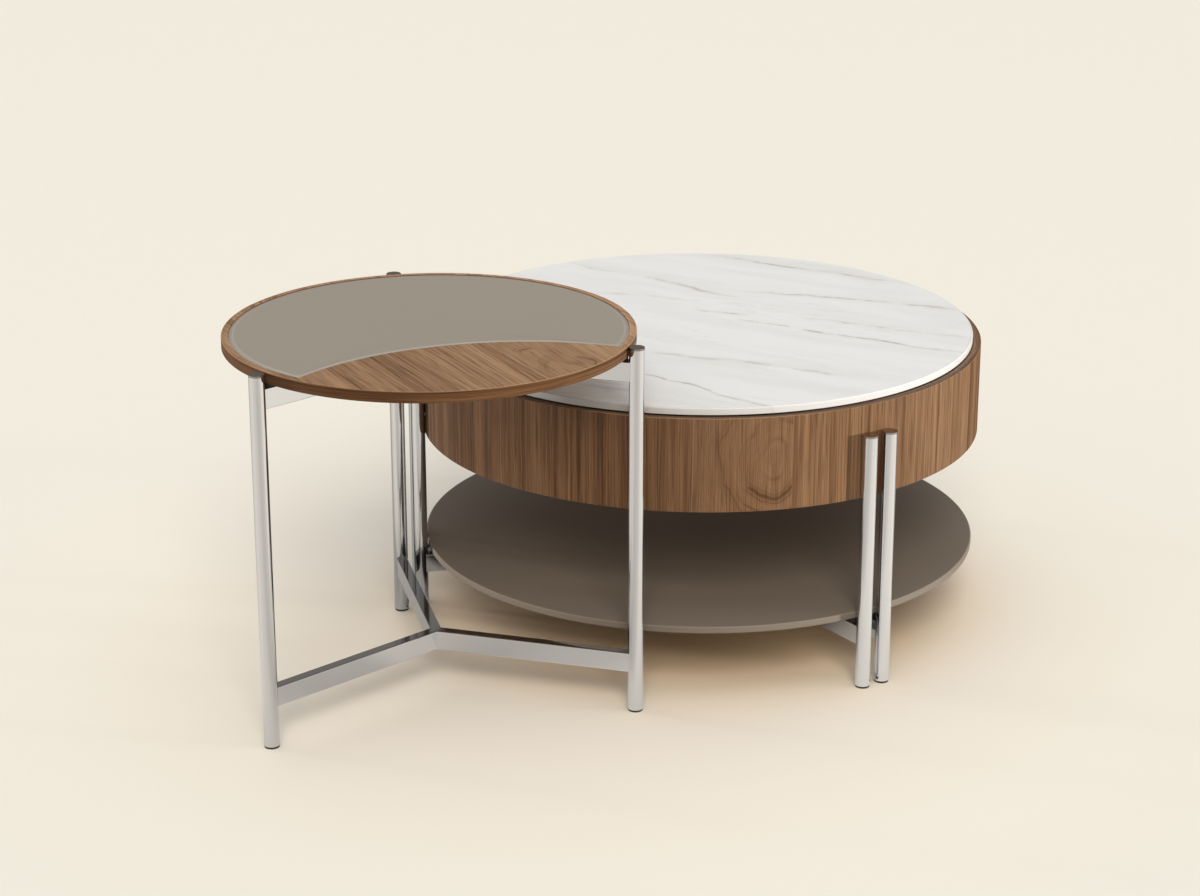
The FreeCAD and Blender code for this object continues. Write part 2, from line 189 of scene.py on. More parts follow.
def walnutFinish(name, veneer, ovalAcross, ovalAlong):
    material, tree, shader = newFinish(name, Specular_IOR_Level=veneer["sheen"])
    grain = addNode(tree, "ShaderNodeUVMap", uv_map="grain").outputs[0]
    along, across = addNode(tree, "ShaderNodeSeparateXYZ", {0: grain}).outputs[:2]
    # Leaf 0 holds the oval, at its own share of the leaf's width
    width, share = veneer["leafWidth"], veneer["ovalShare"]
    leafPlace = calc(tree, "ADD", calc(tree, "DIVIDE", across, width), share - ovalAcross / width)
    leaf = calc(tree, "FLOOR", leafPlace)
    leafSeed = calc(tree, "MULTIPLY_ADD", leaf, walnut["leafStep"], veneer["seed"])
    chance = addNode(tree, "ShaderNodeTexWhiteNoise", {"W": leafSeed}, noise_dimensions="1D")
    figured = calc(tree, "LESS_THAN", calc(tree, "FLOORED_MODULO", leaf, veneer["ovalEvery"]), 0.5)

    def streaks(kind, place):
        look = walnut[kind]
        spot = vector(tree, calc(tree, "MULTIPLY", along, look["along"]),
                      calc(tree, "MULTIPLY", place, look["across"]), leafSeed)
        streak = calc(tree, "SUBTRACT", noise(tree, spot, look), 0.5)
        return remap(tree, streak, *look["span"], smooth=True) if "span" in look else streak

    def calmed(kind, place):
        kept = calc(tree, "MULTIPLY_ADD", figured, -walnut[kind]["calm"], 1.0)
        return calc(tree, "MULTIPLY", streaks(kind, place), kept)

    # The grain of the figured leaf bends round the oval, that of the others runs nearly straight
    wander = calc(tree, "MULTIPLY", streaks("wander", across), walnut["wander"]["reach"])
    ripple = calc(tree, "MULTIPLY", streaks("ripple", across), walnut["ripple"]["reach"])
    beside = calc(tree, "SUBTRACT", calc(tree, "SUBTRACT", leafPlace, leaf), share)
    beside = calc(tree, "MULTIPLY", beside, width)
    beside = calc(tree, "ADD", calc(tree, "ADD", beside, wander), ripple)
    above = calc(tree, "MULTIPLY", calc(tree, "SUBTRACT", along, ovalAlong), veneer["ovalStretch"])
    reach = calc(tree, "MULTIPLY_ADD", beside, beside, walnut["ovalCore"] ** 2)
    reach = calc(tree, "SQRT", calc(tree, "MULTIPLY_ADD", above, above, reach))
    straight = calc(tree, "MULTIPLY_ADD", wander, walnut["wander"]["onStraight"], across)
    follow = addNode(tree, "ShaderNodeMix", {0: figured, 2: straight, 3: reach},
                     data_type="FLOAT").outputs[0]
    bands = calmed("bands", follow)
    lines = calmed("lines", follow)
    darkLines = calmed("darkLines", follow)
    # Fibres and pores run straight
    fibres = streaks("fibres", across)
    pores = streaks("pores", across)
    tone = calc(tree, "SUBTRACT", chance.outputs["Value"], 0.5)
    tone = calc(tree, "MULTIPLY_ADD", tone, walnut["leafTone"], veneer["meanTone"])
    tone = calc(tree, "MULTIPLY_ADD", bands, walnut["bands"]["depth"], tone)
    tone = calc(tree, "MULTIPLY_ADD", lines, walnut["lines"]["depth"], tone)
    tone = calc(tree, "MULTIPLY_ADD", fibres, walnut["fibres"]["depth"], tone)
    # A few dark rings lie round the oval, broken into arcs
    arcs = calc(tree, "MULTIPLY", streaks("arcs", across), figured)
    for ring in walnut["rings"]:
        off = calc(tree, "DIVIDE", calc(tree, "SUBTRACT", reach, ring["reach"]), ring["width"])
        off = calc(tree, "MULTIPLY", off, off)
        line = calc(tree, "DIVIDE", arcs, calc(tree, "MULTIPLY_ADD", off, off, 1.0))
        tone = calc(tree, "MULTIPLY_ADD", line, -ring["depth"], tone)
    tone = calc(tree, "MULTIPLY_ADD", darkLines, -walnut["darkLines"]["depth"], tone)
    colour = ramp(tree, tone, walnut["stops"])
    poreShare = calc(tree, "MULTIPLY", pores, walnut["pores"]["share"])
    colour = mixColour(tree, poreShare, colour, walnut["poreColour"])
    # Paler rounded edges: partly wear, partly painted highlight
    edgeWearAndHighlightShare = calc(tree, "MULTIPLY", edgeToneMask(tree), walnut["edgeWearAndHighlightShare"])
    colour = mixColour(tree, edgeWearAndHighlightShare, colour, walnut["edgeWearAndHighlightColour"])
    roughness = calc(tree, "ADD", remap(tree, fibres, *walnut["roughness"]),
                     calc(tree, "MULTIPLY", pores, walnut["poreRoughness"]))
    relief = walnut["relief"]
    height = calc(tree, "SUBTRACT", calc(tree, "MULTIPLY", fibres, relief["fibres"]),
                  calc(tree, "MULTIPLY_ADD", darkLines, relief["darkLines"], pores))
    plug(tree, shader, Base_Color=colour, Roughness=roughness,
         Normal=bump(tree, height, relief["strength"], relief["distance"]))
    return material


# Pale slab with a few long grey veins; each vein runs from start to end, from the slab's middle, in metres
stone = {
    "pale": (0.892, 0.898, 0.876),
    "cloud": (0.828, 0.826, 0.798),
    # edge: the darker colour of the rounded edges, painted shade
    "edge": (0.650, 0.650, 0.632, 1.0),
    "paintedEdgeShadeShare": 0.75,
    "vein": (0.290, 0.260, 0.215, 1.0),
    "veinSpan": (0.22, 0.95, 0.0, 0.72),
    "haze": (0.560, 0.515, 0.445, 1.0),
    "hazeSpan": (0.0, 0.30, 0.0, 0.34),
    "sheen": 0.3,
    "gloss": {"scale": 60.0, "span": (0.3, 0.7, 0.28, 0.38)},
    "relief": {"scale": 45.0, "strength": 0.01, "distance": 0.0001},
    "sway": {"scale": 8.0, "detail": 5.0, "roughness": 0.52, "reach": 0.050},
    # Clouds, hairlines and smudges are drawn out along the veins
    "grainAngle": -72.0,
    "drawn": {"along": 2.6, "across": 17.0},
    "clouds": {"detail": 5.0, "roughness": 0.55, "low": 0.30, "high": 0.54},
    "hair": {"scale": 1.9, "detail": 5.0, "roughness": 0.6, "span": (0.0, 0.025, 1.0, 0.0)},
    "hairPatches": {"scale": 6.0, "span": (0.48, 0.66, 0.0, 0.24)},
    "broken": {"scale": 30.0, "detail": 4.0, "roughness": 0.6, "span": (0.42, 0.61, 0.06, 1.0)},
    "smudged": {"scale": 2.6, "detail": 3.0, "span": (0.46, 0.66)},
    "fadeIn": 0.25,
    "fadeOut": 0.8,
    "veins": [
        {"start": (0.045, 0.000), "end": (0.155, -0.350), "strength": 1.0, "width": 0.0016},
        {"start": (-0.210, -0.080), "end": (-0.184, -0.330), "strength": 0.95, "width": 0.0015},
        {"start": (0.240, 0.290), "end": (0.358, -0.080), "strength": 0.80, "width": 0.0024},
        {"start": (0.080, 0.350), "end": (0.134, 0.030), "strength": 0.70, "width": 0.0028},
        {"start": (0.145, 0.090), "end": (0.315, -0.210), "strength": 0.60, "width": 0.0026},
        {"start": (-0.010, 0.230), "end": (0.090, 0.060), "strength": 0.35, "width": 0.0040},
        {"start": (-0.145, -0.020), "end": (-0.020, -0.320), "strength": 0.45, "width": 0.0042},
        {"start": (0.115, -0.060), "end": (0.210, -0.290), "strength": 0.65, "width": 0.0022},
        {"start": (0.038, 0.060), "end": (0.076, -0.020), "strength": 0.60, "width": 0.0024},
        {"start": (-0.302, -0.050), "end": (-0.265, -0.160), "strength": 0.45, "width": 0.0026},
        {"start": (-0.300, 0.130), "end": (-0.205, -0.060), "strength": 0.45, "width": 0.0026},
        {"start": (-0.110, 0.300), "end": (-0.040, 0.080), "strength": 0.45, "width": 0.0030},
    ],
}


def alongAcross(tree, x, y, wayX, wayY):
    along = calc(tree, "MULTIPLY_ADD", x, wayX, calc(tree, "MULTIPLY", y, wayY))
    across = calc(tree, "MULTIPLY_ADD", x, -wayY, calc(tree, "MULTIPLY", y, wayX))
    return along, across


def veinMask(tree, x, y, vein):
    (x0, y0), (x1, y1) = vein["start"], vein["end"]
    length = math.hypot(x1 - x0, y1 - y0)
    along, across = alongAcross(tree, calc(tree, "SUBTRACT", x, x0), calc(tree, "SUBTRACT", y, y0),
                                (x1 - x0) / length, (y1 - y0) / length)
    across = calc(tree, "DIVIDE", across, vein["width"])
    line = calc(tree, "DIVIDE", 1.0, calc(tree, "MULTIPLY_ADD", across, across, 1.0))
    fade = calc(tree, "MULTIPLY", remap(tree, along, 0.0, stone["fadeIn"] * length, smooth=True),
                remap(tree, along, stone["fadeOut"] * length, length, 1.0, 0.0, smooth=True))
    return calc(tree, "MULTIPLY", calc(tree, "MULTIPLY", line, fade), vein["strength"])


def stoneFinish():
    material, tree, shader = newFinish("paleStone", Specular_IOR_Level=stone["sheen"])
    centre = (-coffeeCentre.x, -coffeeCentre.y, 0.0)
    place = addNode(tree, "ShaderNodeMapping", {"Vector": objectPlace(tree), "Location": centre}).outputs[0]
    sway = noise(tree, place, stone["sway"]).node.outputs["Color"]
    sway = vectorCalc(tree, "SUBTRACT", sway, (0.5, 0.5, 0.5))["Vector"]
    sway = vectorCalc(tree, "MULTIPLY", sway, (stone["sway"]["reach"],) * 3)["Vector"]
    swayed = vectorCalc(tree, "ADD", place, sway)["Vector"]
    x, y = addNode(tree, "ShaderNodeSeparateXYZ", {0: swayed}).outputs[:2]
    turn = math.radians(stone["grainAngle"])
    along, across = alongAcross(tree, x, y, math.cos(turn), math.sin(turn))
    drawn = vector(tree, calc(tree, "MULTIPLY", along, stone["drawn"]["along"]),
                   calc(tree, "MULTIPLY", across, stone["drawn"]["across"]), 0.0)
    clouds = stone["clouds"]
    colour = ramp(tree, noise(tree, drawn, clouds),
                  [(clouds["low"], stone["cloud"]), (clouds["high"], stone["pale"])])
    hair = calc(tree, "ABSOLUTE", calc(tree, "SUBTRACT", noise(tree, drawn, stone["hair"]), 0.5))
    hair = remap(tree, hair, *stone["hair"]["span"], smooth=True)
    hair = calc(tree, "MULTIPLY", hair, patches(tree, place, stone["hairPatches"]))
    colour = mixColour(tree, hair, colour, stone["haze"])
    # Each vein has a soft haze and a thin, broken line
    total = None
    for vein in stone["veins"]:
        mask = veinMask(tree, x, y, vein)
        total = mask if total is None else calc(tree, "MAXIMUM", total, mask)
    broken = patches(tree, place, stone["broken"])
    smudged = patches(tree, drawn, stone["smudged"])
    haze = remap(tree, total, *stone["hazeSpan"])
    haze = calc(tree, "MULTIPLY", haze, calc(tree, "MAXIMUM", broken, smudged))
    colour = mixColour(tree, haze, colour, stone["haze"])
    line = calc(tree, "MULTIPLY", remap(tree, total, *stone["veinSpan"]), broken)
    colour = mixColour(tree, line, colour, stone["vein"])
    # The rounded edges take a darker colour: painted shade, so the edge lit from the side stays below white
    edgeTone = mixColour(tree, stone["paintedEdgeShadeShare"], colour, stone["edge"])
    colour = mixColour(tree, edgeToneMask(tree), colour, edgeTone)
    relief = stone["relief"]
    plug(tree, shader, Base_Color=colour, Roughness=patches(tree, place, stone["gloss"]),
         Normal=bump(tree, noise(tree, place, relief), relief["strength"], relief["distance"]))
    return material


# Plain finishes: two colours mixed by noise, with roughness and a fine bump from the same kind of noise
plainNoise = {"patchDetail": 3.0, "gritDetail": 2.0, "low": 0.3, "high": 0.7, "bumpDistance": 0.0001}
plainLooks = {
    "chrome": {"colour": (0.75, 0.77, 0.815, 1), "other": (0.72, 0.74, 0.785, 1),
               "patchScale": 9.0, "gritScale": 700.0, "roughness": (0.05, 0.10), "bump": 0.01,
               "constants": {"Metallic": 1.0}},
    # Cap chrome is darkened: painted shade standing in for the dark reflections on the cap tops
    "capChromePaintedDark": {"colour": (0.46, 0.42, 0.39, 1), "other": (0.39, 0.355, 0.33, 1),
                "patchScale": 90.0, "gritScale": 1500.0, "roughness": (0.26, 0.36), "bump": 0.04,
                "constants": {"Metallic": 1.0}},
    "taupe_glass": {"colour": (0.352, 0.310, 0.259, 1), "other": (0.342, 0.301, 0.251, 1),
                    "patchScale": 3.0, "gritScale": 1800.0, "roughness": (0.34, 0.40), "bump": 0.03,
                    "edgeTone": (0.392, 0.355, 0.305, 1), "edgeToneWeight": 0.9,
                    "constants": {"Specular_IOR_Level": 0.35}},
    # The shelf's rounded edges take a paler colour: painted highlight
    "taupe_lacquer": {"colour": (0.218, 0.180, 0.143, 1), "other": (0.208, 0.171, 0.135, 1),
                      "patchScale": 4.0, "gritScale": 1500.0, "roughness": (0.46, 0.54), "bump": 0.05,
                      "edgeTone": (0.30, 0.265, 0.220, 1), "edgeToneWeight": 0.32,
                      "constants": {"Specular_IOR_Level": 0.12}},
    "raw_board": {"colour": (0.46, 0.33, 0.21, 1), "other": (0.36, 0.25, 0.155, 1),
                  "patchScale": 220.0, "gritScale": 900.0, "roughness": (0.75, 0.9), "bump": 0.2},
    "rubber": {"colour": (0.018, 0.017, 0.016, 1), "other": (0.028, 0.026, 0.024, 1),
               "patchScale": 60.0, "gritScale": 1400.0, "roughness": (0.6, 0.75), "bump": 0.12},
    "black_plastic": {"colour": (0.016, 0.015, 0.014, 1), "other": (0.026, 0.024, 0.022, 1),
                      "patchScale": 40.0, "gritScale": 1100.0, "roughness": (0.42, 0.55), "bump": 0.08},
    "silicone": {"colour": (0.66, 0.66, 0.64, 1), "other": (0.58, 0.58, 0.56, 1),
                 "patchScale": 80.0, "gritScale": 900.0, "roughness": (0.3, 0.4), "bump": 0.03},
    "zinc_steel": {"colour": (0.60, 0.60, 0.58, 1), "other": (0.48, 0.49, 0.50, 1),
                   "patchScale": 150.0, "gritScale": 1300.0, "roughness": (0.28, 0.42), "bump": 0.05,
                   "constants": {"Metallic": 1.0}},
    "brass": {"colour": (0.72, 0.52, 0.23, 1), "other": (0.62, 0.43, 0.18, 1),
              "patchScale": 150.0, "gritScale": 1300.0, "roughness": (0.25, 0.38), "bump": 0.05,
              "constants": {"Metallic": 1.0}},
}


def plainFinish(name, look):
    material, tree, shader = newFinish(name, **look.get("constants", {}))
    place = objectPlace(tree)
    low, high = plainNoise["low"], plainNoise["high"]
    patch = noise(tree, place, {"scale": look["patchScale"], "detail": plainNoise["patchDetail"]})
    grit = noise(tree, place, {"scale": look["gritScale"], "detail": plainNoise["gritDetail"]})
    colour = mixColour(tree, remap(tree, patch, low, high), look["colour"], look["other"])
    # Edge tone: a painted highlight on the shelf's edges, a paler bevel on the glass
    if "edgeTone" in look:
        edgeTone = calc(tree, "MULTIPLY", edgeToneMask(tree), look["edgeToneWeight"])
        colour = mixColour(tree, edgeTone, colour, look["edgeTone"])
    both = calc(tree, "MULTIPLY_ADD", grit, 0.5, calc(tree, "MULTIPLY", patch, 0.5))
    plug(tree, shader, Base_Color=colour, Roughness=remap(tree, both, low, high, *look["roughness"]),
         Normal=bump(tree, grit, look["bump"], plainNoise["bumpDistance"]))
    return material


finishes = {slot: plainFinish(slot, look) for slot, look in plainLooks.items()}
finishes["stone_look_glass"] = stoneFinish()
print("plain finishes and stone made")


# Mesh helpers
edgeSteps = 6  # faces in a small round
edgeToneEndLine = 0.0006  # width of the line that ends the edge tone beside a round
weldReach = 0.000001  # distance at which a frame piece's loose corners are joined
flatFace = 0.75  # a face whose normal rises more than this lies flat


def arc(centre, radius, start, end, fading):
    # A fading arc takes the edge tone only at its middle, so that the faces beside it stay without it
    points = []
    for n in range(edgeSteps + 1):
        angle = math.radians(start + (end - start) * n / edgeSteps)
        edgeTone = math.sin(math.pi * n / edgeSteps) if fading else 1.0
        points.append((centre[0] + radius * math.cos(angle), centre[1] + radius * math.sin(angle), edgeTone))
    return points


def discProfile(radius, bottom, top, bottomRound, topRound, fading=False):
    lower = arc((radius - bottomRound, bottom + bottomRound), bottomRound, -90, 0, fading)
    upper = arc((radius - topRound, top - topRound), topRound, 0, 90, fading)
    if not fading:
        # A line beside each round keeps the edge tone off the broad faces
        lower.insert(0, (lower[0][0] - edgeToneEndLine, bottom, 0.0))
        upper.append((upper[-1][0] - edgeToneEndLine, top, 0.0))
    return [(0.0, bottom, 0.0)] + lower + upper + [(0.0, top, 0.0)]


def rimProfile(radius, bottom, top, edgeRound):
    return discProfile(radius, bottom, top, edgeRound, edgeRound, fading=True)[1:-1]


def loopFaces(mesh, loops, closed):
    pairs = list(zip(loops, loops[1:])) + ([(loops[-1], loops[0])] if closed else [])
    for first, second in pairs:
        for n in range(max(len(first), len(second))):
            corners = [first[n % len(first)], first[(n + 1) % len(first)],
                       second[(n + 1) % len(second)], second[n % len(second)]]
            mesh.faces.new(list(dict.fromkeys(corners)))


def pieceFrom(name, mesh, finish):
    bmesh.ops.recalc_face_normals(mesh, faces=mesh.faces)
    data = bpy.data.meshes.new(name)
    for face in mesh.faces:
        face.smooth = True
    mesh.to_mesh(data)
    mesh.free()
    data.materials.append(finish)
    piece = bpy.data.objects.new(name, data)
    bpy.context.scene.collection.objects.link(piece)
    return piece


def edgeToneLayer(mesh):
    return mesh.verts.layers.float.new("edgeToneMark")


def turned(name, profile, centre, sides, finish, closed=False):
    mesh = bmesh.new()
    edgeToneWeight = edgeToneLayer(mesh)
    loops = []
    for radius, z, edgeTone in profile:
        count = sides if radius > 0 else 1
        loop = []
        for n in range(count):
            angle = 2 * math.pi * n / count
            x, y = centre.x + radius * math.cos(angle), centre.y + radius * math.sin(angle)
            loop.append(mesh.verts.new((x, y, z)))
            loop[-1][edgeToneWeight] = edgeTone
        loops.append(loop)
    loopFaces(mesh, loops, closed)
    return pieceFrom(name, mesh, finish)


def settle(piece):
    # Weighted normals keep broad faces flat beside the small rounds
    weighted = piece.modifiers.new("weighted", "WEIGHTED_NORMAL")
    weighted.weight = 100
    bpy.context.view_layer.update()
    depsgraph = bpy.context.evaluated_depsgraph_get()
    shaped = piece.evaluated_get(depsgraph)
    data = bpy.data.meshes.new_from_object(shaped, preserve_all_data_layers=True, depsgraph=depsgraph)
    data.name = piece.name
    piece.modifiers.clear()
    piece.data = data


def handOver(piece, body, slot, *nodes):
    settle(piece)
    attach(piece, body)
    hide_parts(*nodes)


def grainMap(piece, rule):
    layer = piece.data.uv_layers.new(name="grain")
    for face in piece.data.polygons:
        for index in face.loop_indices:
            place = piece.data.vertices[piece.data.loops[index].vertex_index].co
            layer.data[index].uv = rule(face, place)


def arcAround(centre, face, place, start):
    def turn(point):
        return (math.atan2(point.y - centre.y, point.x - centre.x) - start) % (2 * math.pi)
    faceTurn = turn(face.center)
    step = (turn(place) - faceTurn + math.pi) % (2 * math.pi) - math.pi
    return faceTurn + step


# Geometry Nodes: round pieces, turned from a rounded rectangle and set on points
turnedSteps = {"filletFaces": 5, "mergeReach": 0.000002}


def turnedTree():
    tree = bpy.data.node_groups.new("turnedPieces", "GeometryNodeTree")
    face = tree.interface
    face.new_socket("Geometry", in_out="INPUT", socket_type="NodeSocketGeometry")
    for name in ("Outer Radius", "Inner Radius", "Height", "Edge Round"):
        face.new_socket(name, in_out="INPUT", socket_type="NodeSocketFloat")
    face.new_socket("Sides", in_out="INPUT", socket_type="NodeSocketInt")
    face.new_socket("Finish", in_out="INPUT", socket_type="NodeSocketMaterial")
    face.new_socket("Geometry", in_out="OUTPUT", socket_type="NodeSocketGeometry")
    given = addNode(tree, "NodeGroupInput").outputs
    outer, inner, height = given["Outer Radius"], given["Inner Radius"], given["Height"]
    section = addNode(tree, "GeometryNodeCurvePrimitiveQuadrilateral",
                      {"Width": calc(tree, "SUBTRACT", outer, inner), "Height": height}).outputs[0]
    # Only the corners away from a solid piece's axis are rounded
    corner = addNode(tree, "GeometryNodeInputPosition").outputs[0]
    corner = addNode(tree, "ShaderNodeSeparateXYZ", {0: corner}).outputs[0]
    hollow = calc(tree, "GREATER_THAN", inner, 0.0)
    rounded = calc(tree, "MAXIMUM", calc(tree, "GREATER_THAN", corner, 0.0), hollow)
    edgeRound = calc(tree, "MULTIPLY", given["Edge Round"], rounded)
    fillet = addNode(tree, "GeometryNodeFilletCurve", {
        "Curve": section, "Count": turnedSteps["filletFaces"], "Radius": edgeRound}, mode="POLY").outputs[0]
    pathRadius = calc(tree, "MULTIPLY", calc(tree, "ADD", outer, inner), 0.5)
    path = addNode(tree, "GeometryNodeCurvePrimitiveCircle",
                   {"Resolution": given["Sides"], "Radius": pathRadius}).outputs[0]
    shape = addNode(tree, "GeometryNodeCurveToMesh", {"Curve": path, "Profile Curve": fillet}).outputs[0]
    shape = addNode(tree, "GeometryNodeMergeByDistance",
                    {"Geometry": shape, "Distance": turnedSteps["mergeReach"]}).outputs[0]
    lift = vector(tree, 0.0, 0.0, calc(tree, "MULTIPLY", height, 0.5))
    shape = addNode(tree, "GeometryNodeTransform", {"Geometry": shape, "Translation": lift}).outputs[0]
    shape = addNode(tree, "GeometryNodeInstanceOnPoints",
                    {"Points": given["Geometry"], "Instance": shape}).outputs[0]
    shape = addNode(tree, "GeometryNodeRealizeInstances", {"Geometry": shape}).outputs[0]
    shape = addNode(tree, "GeometryNodeSetShadeSmooth", {"Geometry": shape}).outputs[0]
    shape = addNode(tree, "GeometryNodeSetMaterial",
                    {"Geometry": shape, "Material": given["Finish"]}).outputs[0]
    addNode(tree, "NodeGroupOutput", {"Geometry": shape})
    return tree


turnedPieces = turnedTree()


def setOnPoints(name, places, values):
    data = bpy.data.meshes.new(name + "Points")
    data.from_pydata(places, [], [])
    piece = bpy.data.objects.new(name, data)
    bpy.context.scene.collection.objects.link(piece)
    modifier = piece.modifiers.new("pieces", "NODES")
    modifier.node_group = turnedPieces
    for item in turnedPieces.interface.items_tree:
        if item.in_out == "INPUT" and item.name in values:
            modifier[item.identifier] = values[item.name]
    settle(piece)
    mesh = bmesh.new()
    mesh.from_mesh(piece.data)
    bmesh.ops.recalc_face_normals(mesh, faces=mesh.faces)
    mesh.to_mesh(piece.data)
    mesh.free()
    return piece


def islandBoxes(node, count):
    # The box of each of a node's alike solids, found from its loose shells
    mesh = bmesh.new()
    mesh.from_mesh(frame["nodes"][node].data)
    bmesh.ops.remove_doubles(mesh, verts=mesh.verts, dist=weldReach)
    left = set(mesh.verts)
    boxes = []
    while left:
        shell = [left.pop()]
        for vert in shell:
            fresh = [edge.other_vert(vert) for edge in vert.link_edges if edge.other_vert(vert) in left]
            left.difference_update(fresh)
            shell.extend(fresh)
        low = Vector([min(vert.co[axis] for vert in shell) for axis in range(3)])
        high = Vector([max(vert.co[axis] for vert in shell) for axis in range(3)])
        boxes.append((low, high))
    mesh.free()
    assert len(boxes) == count, (node, len(boxes))
    return sorted(boxes, key=lambda corners: tuple(corners[0]))


# Side table: board, with the crescent's bed let into it, and the glass
board = {"edgeRound": 0.0012, "underEdgeTone": 0.5}
topVeneer = {"leafWidth": 0.080, "grainAngle": 74.0, "ovalPlace": (0.006, -0.238), "ovalShare": 0.6,
             "ovalEvery": 9.0, "ovalStretch": 0.42, "meanTone": 0.70, "sheen": 0.15, "seed": 11.0}
# The rim's low mean tone is partly painted shade
rimVeneer = {"leafWidth": 0.5, "ovalAcross": 1.0, "ovalAlong": 0.0, "ovalShare": 0.5,
             "ovalEvery": 9.0, "ovalStretch": 0.5, "meanTone": 0.24, "sheen": 0.15, "seed": 5.0}
crescent = {"margin": 0.009, "hollowRadius": 0.3045, "hollowDistance": 0.380, "hollowAngle": -115.2,
            "clearance": 0.0003, "bevelWidth": 0.006, "bevelDepth": 0.0007, "bevelLine": 0.0004,
            "outerSteps": 300, "innerSteps": 180}


def crescentLoop(grow):
    low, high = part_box("side_top_board")
    outer = (high.x - low.x) / 2 - crescent["margin"] + grow
    inner = crescent["hollowRadius"] - grow
    distance = crescent["hollowDistance"]
    facing = math.radians(crescent["hollowAngle"])
    turn = math.acos((outer ** 2 + distance ** 2 - inner ** 2) / (2 * outer * distance))
    innerTurn = math.acos((inner ** 2 + distance ** 2 - outer ** 2) / (2 * inner * distance))
    sweep = 2 * (math.pi - turn)
    points = []
    for n in range(crescent["outerSteps"]):
        angle = facing + turn + sweep * n / crescent["outerSteps"]
        points.append((outer * math.cos(angle), outer * math.sin(angle), angle))
    for n in range(crescent["innerSteps"]):
        share = n / crescent["innerSteps"]
        bend = facing + math.pi + innerTurn * (1 - 2 * share)
        around = facing - turn + 2 * turn * share
        points.append((distance * math.cos(facing) + inner * math.cos(bend),
                       distance * math.sin(facing) + inner * math.sin(bend), around))
    return points


def crescentVerts(mesh, grow, z):
    return [mesh.verts.new((sideCentre.x + x, sideCentre.y + y, z)) for x, y, around in crescentLoop(grow)]


def sideBoard(finish):
    low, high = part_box("side_top_board")
    radius = (high.x - low.x) / 2
    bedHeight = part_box("glass_bond_dots")[0].z
    clearance = crescent["clearance"]
    mesh = bmesh.new()
    edgeToneWeight = edgeToneLayer(mesh)
    loops = [[mesh.verts.new((sideCentre.x, sideCentre.y, bedHeight))],
             crescentVerts(mesh, clearance, bedHeight), crescentVerts(mesh, clearance, high.z)]
    for reach, z, edgeTone in reversed(rimProfile(radius, low.z, high.z, board["edgeRound"])):
        loop = []
        for x, y, around in crescentLoop(clearance):
            rimX, rimY = sideCentre.x + reach * math.cos(around), sideCentre.y + reach * math.sin(around)
            loop.append(mesh.verts.new((rimX, rimY, z)))
            loop[-1][edgeToneWeight] = edgeTone if z > sideCentre.z else board["underEdgeTone"] * edgeTone
        loops.append(loop)
    loops.append([mesh.verts.new((sideCentre.x, sideCentre.y, low.z))])
    loopFaces(mesh, loops, False)
    piece = pieceFrom("sideTopBoard", mesh, finish)
    grainTurn = math.radians(topVeneer["grainAngle"])
    grainWay = Vector((math.cos(grainTurn), math.sin(grainTurn)))
    acrossWay = Vector((-grainWay.y, grainWay.x))

    def rule(face, place):
        flat = Vector((place.x - sideCentre.x, place.y - sideCentre.y))
        if abs(face.normal.z) > flatFace:
            return flat.dot(grainWay), flat.dot(acrossWay)
        return arcAround(sideCentre, face, place, 0.0) * radius, place.z
    grainMap(piece, rule)
    # The rim has a darker walnut of its own: partly a darker edge band, partly painted shade on the side
    # that faces away from the lamps
    rimWalnut = walnutFinish("walnutRim", rimVeneer, rimVeneer["ovalAcross"], rimVeneer["ovalAlong"])
    piece.data.materials.append(rimWalnut)
    for face in piece.data.polygons:
        face.material_index = int(abs(face.normal.z) < flatFace)
    return piece


def glassCrescent():
    low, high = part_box("glass_crescent")
    inset = -crescent["bevelWidth"]
    mesh = bmesh.new()
    edgeToneWeight = edgeToneLayer(mesh)
    loops = [[mesh.verts.new((sideCentre.x, sideCentre.y, low.z))],
             crescentVerts(mesh, 0.0, low.z),
             crescentVerts(mesh, 0.0, high.z - crescent["bevelDepth"]),
             crescentVerts(mesh, inset, high.z),
             crescentVerts(mesh, inset - crescent["bevelLine"], high.z),
             [mesh.verts.new((sideCentre.x, sideCentre.y, high.z))]]
    # The bevel looks paler than the flat
    for vert in loops[2] + loops[3]:
        vert[edgeToneWeight] = 1.0
    loopFaces(mesh, loops, False)
    return pieceFrom("glassCrescent", mesh, finishes["taupe_glass"])


ovalX, ovalY = topVeneer["ovalPlace"]
acrossTurn = math.radians(topVeneer["grainAngle"] + 90)
topOvalAcross = ovalX * math.cos(acrossTurn) + ovalY * math.sin(acrossTurn)
topOvalAlong = ovalX * math.sin(acrossTurn) - ovalY * math.cos(acrossTurn)
topWalnut = walnutFinish("walnutTop", topVeneer, topOvalAcross, topOvalAlong)
handOver(sideBoard(topWalnut), "side_table", "walnut", "side_top_board")
handOver(glassCrescent(), "side_table", "taupe_glass", "glass_crescent")
print("side top made")


# Coffee table: slab, drum and shelf
slab = {"topRound": 0.002, "underRound": 0.0008, "sides": 360}
shelf = {"topRound": 0.0015, "underRound": 0.0015, "sides": 360}
drum = {"wall": 0.018, "edgeRound": 0.0008, "sides": 400, "seamAngle": 90.0}
drumVeneer = {"leafWidth": 0.115, "ovalAngle": -121.4, "ovalHeight": 0.316, "ovalShare": 0.8,
              "ovalEvery": 7.0, "ovalStretch": 0.78, "meanTone": 0.41, "sheen": 0.36, "seed": 3.0}


def coffeeDisc(name, node, disc, finish):
    low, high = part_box(node)
    profile = discProfile((high.x - low.x) / 2, low.z, high.z, disc["underRound"], disc["topRound"])
    return turned(name, profile, coffeeCentre, disc["sides"], finish)


